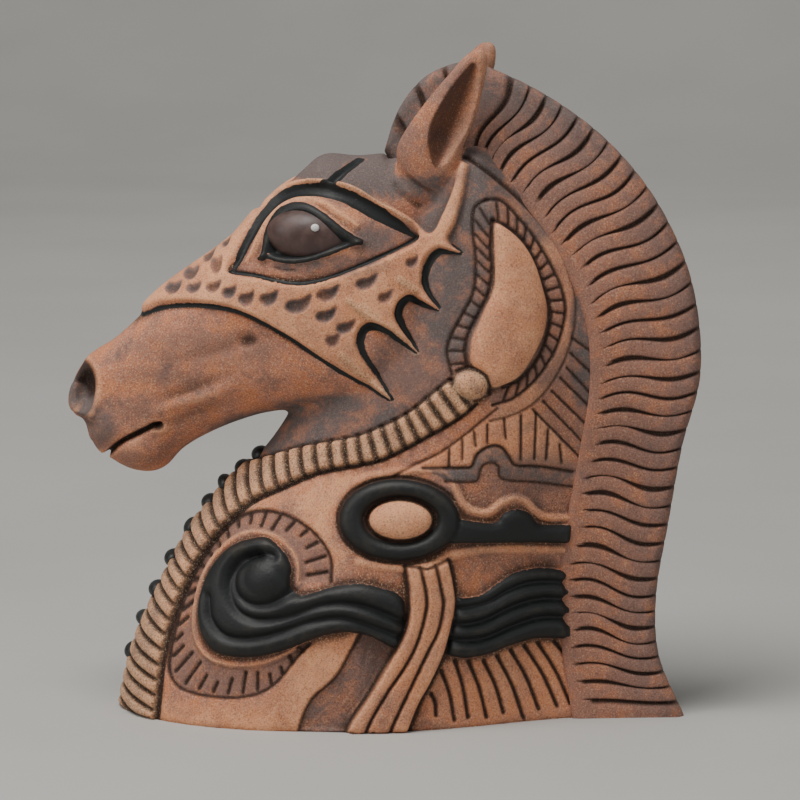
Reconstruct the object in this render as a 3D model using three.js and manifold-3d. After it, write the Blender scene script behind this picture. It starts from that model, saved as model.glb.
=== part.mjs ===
// A horse-head bust in fired clay: neck, head, mane, ears and applied relief are one piece.
// Millimetres, +Z up. The muzzle points along -X and the animal's left side faces -Y.
// The origin is the centre of the flat underside.
import * as THREE from "three";
import { mergeVertices } from "three/addons/utils/BufferGeometryUtils.js";
import Module from "manifold-3d";

// ---- Driving dimensions --------------------------------------------------------------------

const CLAY = { color: 0x9a5f47, roughness: 0.85, metalness: 0 };

// Neck: horizontal sections. front, widest and back are places along X; half is the half width.
const NECK = [
  { z: 0, front: -165, widest: -55, back: 142, half: 70 },
  { z: 40, front: -155, widest: -45, back: 135, half: 69 },
  { z: 80, front: -137, widest: -32, back: 132, half: 67 },
  { z: 115, front: -118, widest: -14, back: 134, half: 62 },
  { z: 140, front: -98, widest: 2, back: 138, half: 57 },
  { z: 160, front: -79, widest: 12, back: 142, half: 53 },
  { z: 186, front: -60, widest: 20, back: 146, half: 49 },
  { z: 230, front: -38, widest: 36, back: 149, half: 44 },
  { z: 280, front: -6, widest: 48, back: 133, half: 40 },
  { z: 320, front: 20, widest: 54, back: 102, half: 36 },
  { z: 345, front: 36, widest: 56, back: 76, half: 28 },
  { z: 357, front: 45, widest: 56, back: 68, half: 15 },
];
const NECK_BACK_HALF = 11; // half width where the neck dies into the mane
const NECK_BACK_POWER = 1.5; // how late the flank turns in towards the mane
const NECK_SIDE_STEPS = 12;

// Head: sections square to an axis that rises from the muzzle to the poll.
const HEAD_START = { x: -195.1, z: 188 };
const HEAD_RISE = THREE.MathUtils.degToRad(32);
const HEAD = [
  { along: 0, top: 4, under: -10, half: 9 },
  { along: 3, top: 8, under: -32, half: 19 },
  { along: 10, top: 15, under: -48, half: 25 },
  { along: 20, top: 21, under: -58, half: 28 },
  { along: 31, top: 24, under: -61, half: 29 },
  { along: 46, top: 24, under: -57, half: 30 },
  { along: 64, top: 27, under: -57, half: 31 },
  { along: 86, top: 32, under: -60, half: 35 },
  { along: 106, top: 34, under: -65, half: 39 },
  { along: 128, top: 35, under: -76, half: 43 },
  { along: 146, top: 37, under: -89, half: 46 },
  { along: 162, top: 42, under: -99, half: 48 },
  { along: 182, top: 47, under: -105, half: 49 },
  { along: 206, top: 52, under: -103, half: 48 },
  { along: 220, top: 53, under: -94, half: 45 },
  { along: 236, top: 42, under: -76, half: 38 },
  { along: 252, top: 34, under: -56, half: 28 },
];
const HEAD_SQUARENESS = 2.5;
const HEAD_SIDE_STEPS = 9;

// Mane: a fluted slab between the nape line and the crest line, both listed from the forelock down.
// The grooves are placed in spans, counted from one listed point to the next.
const CREST = [
  [1, 352], [9, 376], [24, 396], [44, 406], [62, 405], [101, 387], [139, 359], [170, 321],
  [191, 273], [197, 218], [186, 170], [178, 122], [171, 77], [173, 38], [189, 0],
];
const NAPE = [
  [18, 325], [24, 335], [32, 344], [42, 350], [52, 352], [67, 344], [94, 319], [117, 288],
  [133, 251], [136, 211], [130, 172], [123, 131], [117, 87], [119, 45], [127, 0],
];
const FORELOCK_GROOVES = [0.9, 1.8, 2.7, 3.6];
const MANE_GROOVES = 38;
const MANE_FIRST_GROOVE = 4.5;
const MANE_GROOVE_PITCH = 0.25;
const MANE_GROOVE_HALF = 0.036;
const MANE_GROOVE_DEPTH = 2.2;
const MANE_SWAY = 3.5; // each groove sways like a flat S
const MANE_ROOT_HALF = 16;
const MANE_ROOT_SUNK = 0.12; // share of the width that is sunk in the neck
const MANE_ROOT_INSET = 2;
const MANE_RIM_HALF = 7;
const MANE_STEPS = 3;

// Ears: level sections. middle and side are the section's centre, half its half length along X.
const EAR = [
  { z: 332, middle: 30, side: 18, half: 16, thick: 13 },
  { z: 347, middle: 30, side: 22, half: 19, thick: 13 },
  { z: 358, middle: 32, side: 25, half: 20.5, thick: 11 },
  { z: 372, middle: 39, side: 27, half: 19.5, thick: 10 },
  { z: 388, middle: 47.5, side: 29, half: 16, thick: 8 },
  { z: 404, middle: 56, side: 31, half: 10, thick: 5.5 },
  { z: 418, middle: 63, side: 32, half: 2, thick: 1.5 },
];
const EAR_HOLLOW = [
  { z: 338, middle: 38, side: 37, half: 3, thick: 5 },
  { z: 351, middle: 38, side: 38, half: 8, thick: 9 },
  { z: 369, middle: 44, side: 38, half: 12.5, thick: 10 },
  { z: 390, middle: 52, side: 38, half: 10, thick: 8 },
  { z: 408, middle: 60, side: 37, half: 3, thick: 4 },
];
const EAR_SIDES = 10;

// Mask: a slab over the brow and nose bridge with four tines, a strap to the ear and an eye opening.
const MASK_HEIGHT = 3.5;
const MASK = [
  [-160, 246], [-147, 251], [-133, 257], [-109, 260], [-74, 255], [-55, 244], [-10, 216],
  [10, 204], [-3, 224], [-10, 240], [-8, 248], [3, 251], [15, 242], [28, 233], [15, 250],
  [13, 260], [20, 267], [31, 262], [39, 259], [30, 273], [29, 284], [37, 295], [51, 294],
  [45, 302], [55, 326], [58, 346], [50, 350], [49, 334], [43, 318], [33, 306], [17, 315],
  [-20, 333], [-32, 337], [-21, 345], [-5, 358], [-40, 372], [-90, 340], [-140, 290], [-165, 255],
];
const EYE_OPENING = [
  [-92, 278], [-86, 296], [-78, 312], [-62, 330], [-42, 337], [-16, 331], [2, 321], [24, 301],
  [8, 291], [-15, 283], [-46, 275], [-75, 277],
];
const EYE = { x: -41, y: 36, z: 303, long: 24, out: 14, high: 14.5 };
const LID = { x: -41, y: 43, z: 302, long: 29, high: 15, thick: 3 };

// Muzzle: nostrils and mouth are cut in.
const NOSTRIL = { x: -185, y: 20, z: 203, long: 7, deep: 9, high: 14, tilt: 0.25 };
const MOUTH = { line: [[-174, 160], [-161, 171], [-149, 178], [-136, 183]], half: 1.6, depth: 4 };

// Collar: a roll from the breast to behind the jaw, between an outer and an inner edge.
const COLLAR_OUTER = [
  [46, 217], [20, 195], [-12, 181], [-44, 173], [-72, 162], [-98, 148], [-124, 126],
  [-147, 92], [-164, 56], [-178, 0],
];
const COLLAR_INNER = [
  [62, 202], [34, 183], [2, 168], [-30, 158], [-56, 148], [-80, 135], [-103, 112],
  [-120, 82], [-131, 46], [-137, 0],
];
const COLLAR_HEIGHT = 4.5;
const COLLAR_STEPS = 10;
const COLLAR_END = { x: 59, y: 43, z: 214, radius: 9.5 };
const BREAST_BEADS = [
  [-79, 163], [-90, 154], [-101, 144], [-111, 132], [-123, 116], [-135, 96], [-145, 76],
  [-153, 57], [-161, 36],
];
const BREAST_BEAD_RADIUS = 5.5;

// Neck ornament, raised from the neck's flank.
const LEAF_HEIGHT = 5;
const LEAF = [
  [73, 312], [90, 298], [101, 277], [104, 256], [99, 237], [89, 219], [76, 212], [62, 216],
  [57, 230], [61, 246], [69, 264], [73, 280], [71, 297],
];
const RING = { x: 16, z: 131.5, long: 37, high: 24.5, holeLong: 23, holeHigh: 14.5, height: 4.5 };
const RING_BALL = { x: 16, y: 57, z: 131.5, long: 19, out: 7, high: 11.5 };
const BAR = [
  [44, 117], [119, 111], [119, 121], [98, 124], [95, 131], [88, 135], [80, 132], [75, 124], [46, 128],
];
const SCROLL_HEIGHT = 5;
const SCROLL = [
  [-63, 116], [-77, 115], [-91, 109], [-103, 92], [-109, 72], [-106, 56], [-98, 48], [-84, 45],
  [-65, 47], [-38, 58], [-18, 63], [-2, 61], [18, 52], [19, 85], [5, 91], [-8, 93], [-26, 90],
  [-42, 86], [-50, 92], [-51, 106],
];
const SCROLL_BALL = { x: -66, y: 58, z: 93, long: 15, out: 10, high: 13 };
const STRAP_HEIGHT = 4;
const STRAP_LEFT = [[20, 104], [22, 78], [15, 53], [0, 27], [-17, -5]];
const STRAP_RIGHT = [[45, 107], [49, 78], [44, 48], [33, 24], [21, -5]];
const WAVE_TOP = [[46, 84], [62, 82], [76, 90], [92, 97], [106, 95], [119, 91]];
const WAVE_UNDER = [[44, 47], [58, 44], [70, 45], [84, 50], [100, 52], [119, 49]];
const BAND_STEPS = 5;

// ---- Solids --------------------------------------------------------------------------------

const wasm = await Module();
wasm.setup();

// A closed geometry as a solid that can be joined and cut.
function solid(geometry) {
  const plain = geometry.clone();
  plain.deleteAttribute("normal");
  plain.deleteAttribute("uv");
  const merged = mergeVertices(plain, 1e-4);
  return new wasm.Manifold(
    new wasm.Mesh({
      numProp: 3,
      vertProperties: new Float32Array(merged.attributes.position.array),
      triVerts: new Uint32Array(merged.index.array),
    }),
  );
}

// A skin over equal rings of points, closed at both ends by a fan round the ring's middle.
function loft(rings) {
  const count = rings[0].length;
  const points = rings.flat();
  const faces = [];
  for (let r = 0; r + 1 < rings.length; r++)
    for (let i = 0; i < count; i++) {
      const a = r * count + i;
      const b = r * count + ((i + 1) % count);
      faces.push(a, b, b + count, a, b + count, a + count);
    }
  const closeEnd = (ring, start, flip) => {
    const middle = new THREE.Vector3();
    ring.forEach((p) => middle.addScaledVector(p, 1 / count));
    points.push(middle);
    for (let i = 0; i < count; i++) {
      const a = start + i;
      const b = start + ((i + 1) % count);
      faces.push(points.length - 1, flip ? a : b, flip ? b : a);
    }
  };
  closeEnd(rings[0], 0, false);
  closeEnd(rings.at(-1), (rings.length - 1) * count, true);
  const geometry = new THREE.BufferGeometry().setFromPoints(points);
  geometry.setIndex(faces);
  return solid(geometry);
}

// A side-on line of points, its near half mirrored to the far side, as one closed ring.
function mirroredRing(nearSide) {
  const farSide = nearSide
    .slice(1, -1)
    .map((p) => new THREE.Vector3(p.x, -p.y, p.z))
    .reverse();
  return [...nearSide, ...farSide];
}

// ---- Neck ----------------------------------------------------------------------------------

// One horizontal section, grown outwards by `grow`, from the breast round the near side to the nape.
function neckRing(station, grow) {
  const { z, widest } = station;
  const front = station.front - grow;
  const back = station.back + grow;
  const half = station.half + grow;
  const backHalf = NECK_BACK_HALF + grow;
  const near = [];
  for (let i = 0; i <= NECK_SIDE_STEPS / 2; i++) {
    const turn = (Math.PI * i) / NECK_SIDE_STEPS;
    near.push(new THREE.Vector3(widest + (front - widest) * Math.cos(turn), -half * Math.sin(turn), z));
  }
  for (let i = 1; i <= NECK_SIDE_STEPS / 2; i++) {
    const t = (2 * i) / NECK_SIDE_STEPS;
    const fall = Math.cos((Math.PI / 2) * t ** NECK_BACK_POWER) ** 2;
    near.push(new THREE.Vector3(widest + (back - widest) * t, -backHalf - (half - backHalf) * fall, z));
  }
  near.push(new THREE.Vector3(back, 0, z));
  return mirroredRing(near);
}

const neck = (grow) => loft(NECK.map((station) => neckRing(station, grow)));

// ---- Head ----------------------------------------------------------------------------------

// A place in the head's own frame: along the axis, square to it, and across the head.
function headPoint(along, up, across) {
  const c = Math.cos(HEAD_RISE);
  const s = Math.sin(HEAD_RISE);
  return new THREE.Vector3(HEAD_START.x + along * c - up * s, across, HEAD_START.z + along * s + up * c);
}

function headRing(station, grow) {
  const middle = (station.top + station.under) / 2;
  const reach = (station.top - station.under) / 2 + grow;
  const half = station.half + grow;
  const near = [];
  for (let i = 0; i <= HEAD_SIDE_STEPS; i++) {
    const turn = (Math.PI * i) / HEAD_SIDE_STEPS;
    const up = Math.sign(Math.cos(turn)) * Math.abs(Math.cos(turn)) ** (2 / HEAD_SQUARENESS);
    const out = i % HEAD_SIDE_STEPS === 0 ? 0 : Math.sin(turn) ** (2 / HEAD_SQUARENESS);
    near.push(headPoint(station.along, middle + reach * up, -half * out));
  }
  return mirroredRing(near);
}

const head = (grow) => loft(HEAD.map((station) => headRing(station, grow)));

// ---- Mane ----------------------------------------------------------------------------------

const curve = (points) => new THREE.CatmullRomCurve3(points.map(([x, z]) => new THREE.Vector3(x, 0, z)));
const crest = curve(CREST);
const nape = curve(NAPE);
const MANE_SPANS = CREST.length - 1;

// One ring of the mane at a place counted in spans, sunk by `depth` where it is a groove's floor.
function maneRing(place, depth) {
  const root = nape.getPoint(place / MANE_SPANS);
  const rim = crest.getPoint(place / MANE_SPANS);
  const across = rim.clone().sub(root);
  const along = new THREE.Vector3(-across.z, 0, across.x).normalize();
  const sway = MANE_SWAY * Math.min(1, place, MANE_SPANS - place);
  const near = [root.clone().addScaledVector(across, -MANE_ROOT_SUNK).setY(MANE_ROOT_INSET - MANE_ROOT_HALF)];
  for (let i = 1; i <= MANE_STEPS; i++) {
    const t = i / MANE_STEPS;
    const point = root.clone().addScaledVector(across, t);
    point.addScaledVector(along, sway * Math.sin(2 * Math.PI * t));
    near.push(point.setY(depth - MANE_ROOT_HALF - (MANE_RIM_HALF - MANE_ROOT_HALF) * t));
  }
  const far = near.map((p) => new THREE.Vector3(p.x, -p.y, p.z));
  return [...far, ...near.reverse()];
}

function mane() {
  const places = [...FORELOCK_GROOVES];
  for (let k = 0; k < MANE_GROOVES; k++) places.push(MANE_FIRST_GROOVE + k * MANE_GROOVE_PITCH);
  const rings = places.flatMap((place) => [
    maneRing(place - MANE_GROOVE_HALF, 0),
    maneRing(place, MANE_GROOVE_DEPTH),
    maneRing(place + MANE_GROOVE_HALF, 0),
  ]);
  return loft([maneRing(0, 0), ...rings, maneRing(MANE_SPANS, 0)]);
}

// ---- Pieces made once for each side --------------------------------------------------------

// The same geometry on the animal's left (-Y) and right.
function bothSides(geometry) {
  const right = geometry.clone().scale(1, -1, 1);
  const index = right.index.array;
  for (let i = 0; i < index.length; i += 3) [index[i + 1], index[i + 2]] = [index[i + 2], index[i + 1]];
  return solid(geometry).add(solid(right));
}

// A ball stretched along X, Y and Z on both sides, turned in the side view by `tilt`.
function balls({ x, y, z, long, out, high, tilt = 0 }, around = 10, down = 6) {
  const ball = new THREE.SphereGeometry(1, around, down).scale(long, out, high);
  return bothSides(ball.rotateY(tilt).translate(x, -y, z));
}

// A leaf of level oval sections, closed at both ends.
function leafOf(stations) {
  const points = [];
  const faces = [];
  stations.forEach(({ z, middle, side, half, thick }) => {
    for (let i = 0; i < EAR_SIDES; i++) {
      const turn = (2 * Math.PI * i) / EAR_SIDES;
      points.push(new THREE.Vector3(middle + half * Math.cos(turn), -side + thick * Math.sin(turn), z));
    }
  });
  const last = (stations.length - 1) * EAR_SIDES;
  for (let start = 0; start < last; start += EAR_SIDES)
    for (let i = 0; i < EAR_SIDES; i++) {
      const a = start + i;
      const b = start + ((i + 1) % EAR_SIDES);
      faces.push(a, b, b + EAR_SIDES, a, b + EAR_SIDES, a + EAR_SIDES);
    }
  for (let i = 1; i < EAR_SIDES - 1; i++) {
    faces.push(0, i + 1, i);
    faces.push(last, last + i, last + i + 1);
  }
  return new THREE.BufferGeometry().setFromPoints(points).setIndex(faces);
}

const ears = () => bothSides(leafOf(EAR)).subtract(bothSides(leafOf(EAR_HOLLOW)));

// ---- Relief that follows the skin ----------------------------------------------------------

const skin = (grow) => neck(grow).add(head(grow));
const REACH = 100; // farther out than either flank

// A side-view outline carried straight across the bust, through both flanks.
function across(outline, hole) {
  const shape = new THREE.Shape(outline.map(([x, z]) => new THREE.Vector2(x, z)));
  if (hole) shape.holes.push(new THREE.Path(hole.map(([x, z]) => new THREE.Vector2(x, z))));
  const slab = new THREE.ExtrudeGeometry(shape, { depth: 2 * REACH, bevelEnabled: false });
  return solid(slab.rotateX(Math.PI / 2).translate(0, REACH, 0));
}

const joined = (solids) => solids.reduce((sum, next) => sum.add(next));
const raised = (height, solids) => skin(height).intersect(joined(solids));

// The outline of the band between two edges.
function between(edgeA, edgeB, steps) {
  const [a, b] = [curve(edgeA), curve(edgeB)];
  const there = [];
  const back = [];
  for (let i = 0; i <= steps; i++) {
    const [p, q] = [a.getPoint(i / steps), b.getPoint(i / steps)];
    there.push([p.x, p.z]);
    back.unshift([q.x, q.z]);
  }
  return [...there, ...back];
}

// A strip of even width along a line.
function strip(line, half, steps) {
  const path = curve(line);
  const left = [];
  const right = [];
  for (let i = 0; i <= steps; i++) {
    const p = path.getPoint(i / steps);
    const way = path.getTangent(i / steps);
    left.push([p.x - way.z * half, p.z + way.x * half]);
    right.unshift([p.x + way.z * half, p.z - way.x * half]);
  }
  return [...left, ...right];
}

function oval(x, z, long, high, sides) {
  const turns = Array.from({ length: sides }, (_, i) => (2 * Math.PI * i) / sides);
  return turns.map((turn) => [x + long * Math.cos(turn), z + high * Math.sin(turn)]);
}

function collar() {
  const band = across(between(COLLAR_OUTER, COLLAR_INNER, COLLAR_STEPS));
  const { radius, ...place } = COLLAR_END;
  const end = balls({ ...place, long: radius, out: radius, high: radius }, 8);
  return raised(COLLAR_HEIGHT, [band]).add(end);
}

function breastBeads() {
  const beads = BREAST_BEADS.map(([x, z]) => {
    const bead = new THREE.SphereGeometry(BREAST_BEAD_RADIUS, 6, 4);
    return solid(bead.translate(x, 0, z));
  });
  return joined(beads);
}

function ornament() {
  const ring = across(
    oval(RING.x, RING.z, RING.long, RING.high, 18),
    oval(RING.x, RING.z, RING.holeLong, RING.holeHigh, 14),
  );
  const strap = across(between(STRAP_LEFT, STRAP_RIGHT, BAND_STEPS));
  const wave = across(between(WAVE_TOP, WAVE_UNDER, BAND_STEPS));
  return joined([
    raised(LEAF_HEIGHT, [across(LEAF)]),
    raised(RING.height, [ring, across(BAR)]),
    balls(RING_BALL),
    raised(SCROLL_HEIGHT, [across(SCROLL)]),
    balls(SCROLL_BALL),
    raised(STRAP_HEIGHT, [strap, wave]),
  ]);
}

// ---- The face ------------------------------------------------------------------------------

function eyes() {
  const lid = new THREE.TorusGeometry(1, LID.thick / LID.high, 4, 14);
  lid.scale(LID.long, LID.high, LID.high).rotateX(Math.PI / 2);
  lid.translate(LID.x, -LID.y, LID.z);
  return balls(EYE).add(bothSides(lid));
}

const mask = () => raised(MASK_HEIGHT, [across(MASK, EYE_OPENING)]);

function nostrilsAndMouth() {
  const mouth = across(strip(MOUTH.line, MOUTH.half, 4)).subtract(head(-MOUTH.depth));
  return balls({ ...NOSTRIL, out: NOSTRIL.deep }, 8).add(mouth);
}

// ---- The bust ------------------------------------------------------------------------------

const whole = joined([skin(0), mane(), ears(), mask(), eyes(), collar(), breastBeads(), ornament()])
  .subtract(nostrilsAndMouth());

function meshOf(made, name, look) {
  const { vertProperties, triVerts, numProp } = made.getMesh();
  const geometry = new THREE.BufferGeometry();
  const position = new THREE.BufferAttribute(new Float32Array(vertProperties), numProp);
  geometry.setAttribute("position", position);
  geometry.setIndex(new THREE.BufferAttribute(triVerts, 1));
  geometry.computeVertexNormals();
  const mesh = new THREE.Mesh(geometry, new THREE.MeshStandardMaterial(look));
  mesh.name = name;
  return mesh;
}

const bust = new THREE.Group();
bust.add(meshOf(whole, "horse_head", CLAY));

export default bust;
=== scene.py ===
import math

import bpy
import numpy as np
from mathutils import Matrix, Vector


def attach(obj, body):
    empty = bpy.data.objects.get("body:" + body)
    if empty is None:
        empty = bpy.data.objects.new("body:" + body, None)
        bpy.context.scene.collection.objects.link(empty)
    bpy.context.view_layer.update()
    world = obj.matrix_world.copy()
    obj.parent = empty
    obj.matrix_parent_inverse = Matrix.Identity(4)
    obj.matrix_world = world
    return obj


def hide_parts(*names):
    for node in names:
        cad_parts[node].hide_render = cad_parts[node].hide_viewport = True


# The looks of a fired-clay horse-head bust: carved relief, fluted mane and black slip.
# It faces -X and stands on Z = 0, and its near flank, on the -Y side, carries the finest carving.

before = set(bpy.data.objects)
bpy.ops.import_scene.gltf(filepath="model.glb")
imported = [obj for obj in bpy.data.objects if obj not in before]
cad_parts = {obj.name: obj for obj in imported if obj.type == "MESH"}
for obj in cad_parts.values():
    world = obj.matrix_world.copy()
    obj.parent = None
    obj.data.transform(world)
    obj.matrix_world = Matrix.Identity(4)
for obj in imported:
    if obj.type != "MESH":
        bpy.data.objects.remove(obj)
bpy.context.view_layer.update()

MM = 0.001

# ---- Lines and skins (millimetres, as the part itself) ---------------------------------------


def smooth(points, steps=6, closed=False):
    """A smooth line through the points, or a smooth table through its rows."""
    p = np.asarray(points, float)
    if closed:
        p = np.vstack([p[-1:], p, p[:2]])
    else:
        p = np.vstack([2 * p[0] - p[1], p, 2 * p[-1] - p[-2]])
    a, b, c, d = (p[i : len(p) - 3 + i, None, :] for i in range(4))
    t = (np.arange(steps) / steps)[None, :, None]
    line = b + 0.5 * t * (c - a + t * (2 * a - 5 * b + 4 * c - d + t * (3 * (b - c) + d - a)))
    line = line.reshape(-1, p.shape[1])
    return line if closed else np.vstack([line, p[-2]])


def along(line, shares):
    """Points at the given shares of a line's length."""
    line = np.asarray(line, float)
    run = np.concatenate([[0], np.cumsum(np.linalg.norm(np.diff(line, axis=0), axis=1))])
    places = np.asarray(shares) * run[-1]
    return np.stack([np.interp(places, run, column) for column in line.T], 1)


def ease(t):
    t = np.clip(t, 0, 1)
    return t * t * (3 - 2 * t)


def dome(t):
    """A quarter-round rise from 0 to 1."""
    return np.sqrt(1 - (1 - np.clip(t, 0, 1)) ** 2)


def mirrored(near):
    """A closed ring from its near half: the far half is the same, across the bust."""
    far = near[1:-1][::-1] * [1, -1, 1]
    return np.vstack([near, far])


def make_object(name, points, faces):
    mesh = bpy.data.meshes.new(name)
    mesh.from_pydata((np.asarray(points) * MM).tolist(), [], faces)
    mesh.update()
    piece = bpy.data.objects.new(name, mesh)
    bpy.context.scene.collection.objects.link(piece)
    return piece


def skin_over(name, rings):
    """A closed skin over equal rings of points, with a flat face at each end."""
    count = len(rings[0])
    faces = []
    for r in range(len(rings) - 1):
        for i in range(count):
            a, b = r * count + i, r * count + (i + 1) % count
            faces.append((a, b, b + count, a + count))
    faces.append(tuple(range(count))[::-1])
    faces.append(tuple(range((len(rings) - 1) * count, len(rings) * count)))
    piece = make_object(name, np.vstack(rings), faces)
    face_outwards(piece)
    return piece


def deselect():
    for piece in bpy.context.selected_objects:
        piece.select_set(False)


def only(piece):
    deselect()
    piece.select_set(True)
    bpy.context.view_layer.objects.active = piece


def face_outwards(piece):
    only(piece)
    bpy.ops.object.mode_set(mode="EDIT")
    bpy.ops.mesh.select_all(action="SELECT")
    bpy.ops.mesh.normals_make_consistent(inside=False)
    bpy.ops.object.mode_set(mode="OBJECT")


def finish_with(piece, kind, **settings):
    """Adds one modifier and applies it."""
    only(piece)
    modifier = piece.modifiers.new(kind.title(), kind)
    for key, value in settings.items():
        setattr(modifier, key, value)
    bpy.ops.object.modifier_apply(modifier=modifier.name)


def cut_away(piece, tool):
    finish_with(piece, "BOOLEAN", object=tool, operation="DIFFERENCE", solver="EXACT")
    bpy.data.objects.remove(tool)


def join(name, pieces):
    deselect()
    for piece in pieces:
        piece.select_set(True)
    bpy.context.view_layer.objects.active = pieces[0]
    bpy.ops.object.join()
    pieces[0].name = name
    return pieces[0]


def ball(name, place, size, tilt=0, segments=32, rings=20):
    """A ball stretched along X, Y and Z, turned in the side view."""
    deselect()
    bpy.ops.mesh.primitive_uv_sphere_add(
        segments=segments,
        ring_count=rings,
        radius=1,
        location=Vector(place) * MM,
        rotation=(0, tilt, 0),
    )
    piece = bpy.context.object
    piece.name = name
    piece.scale = Vector(size) * MM
    bpy.ops.object.transform_apply(location=True, rotation=True, scale=True)
    return piece


def positions(piece):
    co = np.empty(len(piece.data.vertices) * 3, np.float32)
    piece.data.vertices.foreach_get("co", co)
    return co.reshape(-1, 3).astype(float) / MM


def normals(piece):
    n = np.empty(len(piece.data.vertices) * 3, np.float32)
    piece.data.vertex_normals.foreach_get("vector", n)
    return n.reshape(-1, 3).astype(float)


def move_to(piece, points):
    piece.data.vertices.foreach_set("co", (points * MM).astype(np.float32).ravel())
    piece.data.update()


def store(piece, name, values):
    layer = piece.data.attributes.new(name, "FLOAT", "POINT")
    layer.data.foreach_set("value", np.asarray(values, np.float32))


# ---- Bare form: neck, head and ears -----------------------------------------------------------

# z, breast, widest place, back, half width
NECK = [
    (0, -165, -55, 142, 70), (40, -155, -45, 135, 69), (80, -137, -32, 132, 67),
    (115, -118, -14, 134, 62), (140, -98, 2, 138, 57), (160, -79, 12, 142, 53),
    (186, -60, 20, 146, 49), (230, -38, 36, 149, 44), (280, -6, 48, 133, 40),
    (320, 20, 54, 102, 36), (345, 36, 56, 76, 28), (357, 45, 56, 68, 15),
]
NECK_BACK_HALF = 11
NECK_BACK_POWER = 1.5
HEAD_START = (-195.1, 188)
HEAD_RISE = math.radians(32)
HEAD_SQUARENESS = 2.5
# along the head's axis, top, underside, half width
HEAD = [
    (0, 4, -10, 9), (3, 8, -32, 19), (10, 15, -48, 25), (20, 21, -58, 28), (31, 24, -61, 29),
    (46, 24, -57, 30), (64, 27, -57, 31), (86, 32, -60, 35), (106, 34, -65, 39),
    (128, 35, -76, 43), (146, 37, -89, 46), (162, 42, -99, 48), (182, 47, -105, 49),
    (206, 52, -103, 48), (220, 53, -94, 45), (236, 42, -76, 38), (252, 34, -56, 28),
]
# z, middle, side, half length, half thickness
EAR = [
    (312, 30, 10, 10, 9), (332, 30, 18, 16, 13), (347, 30, 22, 19, 13), (358, 32, 25, 20.5, 11),
    (372, 39, 27, 19.5, 10), (388, 47.5, 29, 16, 8), (404, 56, 31, 11, 6.5), (412.5, 60, 31.6, 7.5, 5),
    (417.5, 62, 32, 3.2, 2.6),
]
EAR_HOLLOW = [
    (343, 37, 41, 2, 5), (351, 39, 40, 6, 12), (369, 45, 40, 12, 16), (390, 52.5, 41, 9.5, 15),
    (409, 60, 39, 2.5, 7),
]
# place and size of the ball that fills the head out under the ears
POLL = (14, 0, 325), (26, 31, 24)
NOSTRIL_X, NOSTRIL_Y, NOSTRIL_Z = -185.5, 25, 203
NOSTRIL_SIZE, NOSTRIL_TILT = (9, 15, 15.5), 0.25
VOXEL = 1.9
SOFTENINGS = 6


def neck_ring(z, breast, widest, back, half, steps=28):
    turn = np.linspace(0, math.pi / 2, steps)
    t = np.linspace(0, 1, steps)[1:]
    fall = np.cos(math.pi / 2 * t**NECK_BACK_POWER) ** 2
    front = widest + (breast - widest) * np.cos(turn)
    x = np.concatenate([front, widest + (back - widest) * t, [back]])
    y = np.concatenate([-half * np.sin(turn), -NECK_BACK_HALF - (half - NECK_BACK_HALF) * fall, [0]])
    return mirrored(np.stack([x, y, np.full_like(x, z)], 1))


def head_ring(place, top, under, half, steps=40):
    turn = np.linspace(0, math.pi, steps)
    up = np.sign(np.cos(turn)) * np.abs(np.cos(turn)) ** (2 / HEAD_SQUARENESS)
    out = np.sin(turn).clip(0) ** (2 / HEAD_SQUARENESS)
    up = (top + under) / 2 + (top - under) / 2 * up
    c, s = math.cos(HEAD_RISE), math.sin(HEAD_RISE)
    x = HEAD_START[0] + place * c - up * s
    z = HEAD_START[1] + place * s + up * c
    return mirrored(np.stack([x, -half * out, z], 1))


def ear_rings(table, side, steps=28):
    turn = np.linspace(0, 2 * math.pi, steps, endpoint=False)
    for z, middle, away, half, thick in smooth(table, 5):
        x = middle + half * np.cos(turn)
        y = side * (away + thick * np.sin(turn))
        yield np.stack([x, y, np.full_like(x, z)], 1)


def ear(side):
    made = skin_over("ear", list(ear_rings(EAR, side)))
    cut_away(made, skin_over("hollow", list(ear_rings(EAR_HOLLOW, side))))
    return made


def nostril(side):
    return ball("nostril", (NOSTRIL_X, NOSTRIL_Y * side, NOSTRIL_Z), NOSTRIL_SIZE, NOSTRIL_TILT)


def bare_form():
    """Neck, head and ears melted into one even skin."""
    neck = skin_over("neck", [neck_ring(*row) for row in smooth(NECK, 5)])
    head = skin_over("head", [head_ring(*row) for row in smooth(HEAD, 4)])
    for side in (-1, 1):
        cut_away(head, nostril(side))
    form = join("clay_body", [neck, head, ball("poll", *POLL), ear(-1), ear(1)])
    finish_with(form, "REMESH", mode="VOXEL", voxel_size=VOXEL * MM, use_smooth_shade=True)
    finish_with(form, "SMOOTH", factor=0.5, iterations=SOFTENINGS)
    finish_with(form, "SUBSURF", levels=1, render_levels=1)
    return form


# ---- Relief map -------------------------------------------------------------------------------

CELL = 0.5
MAP_X, MAP_Z = (-212, 212), (-12, 430)
COLOURS = ("slip", "line", "tan", "wash", "peach", "rough")


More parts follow.
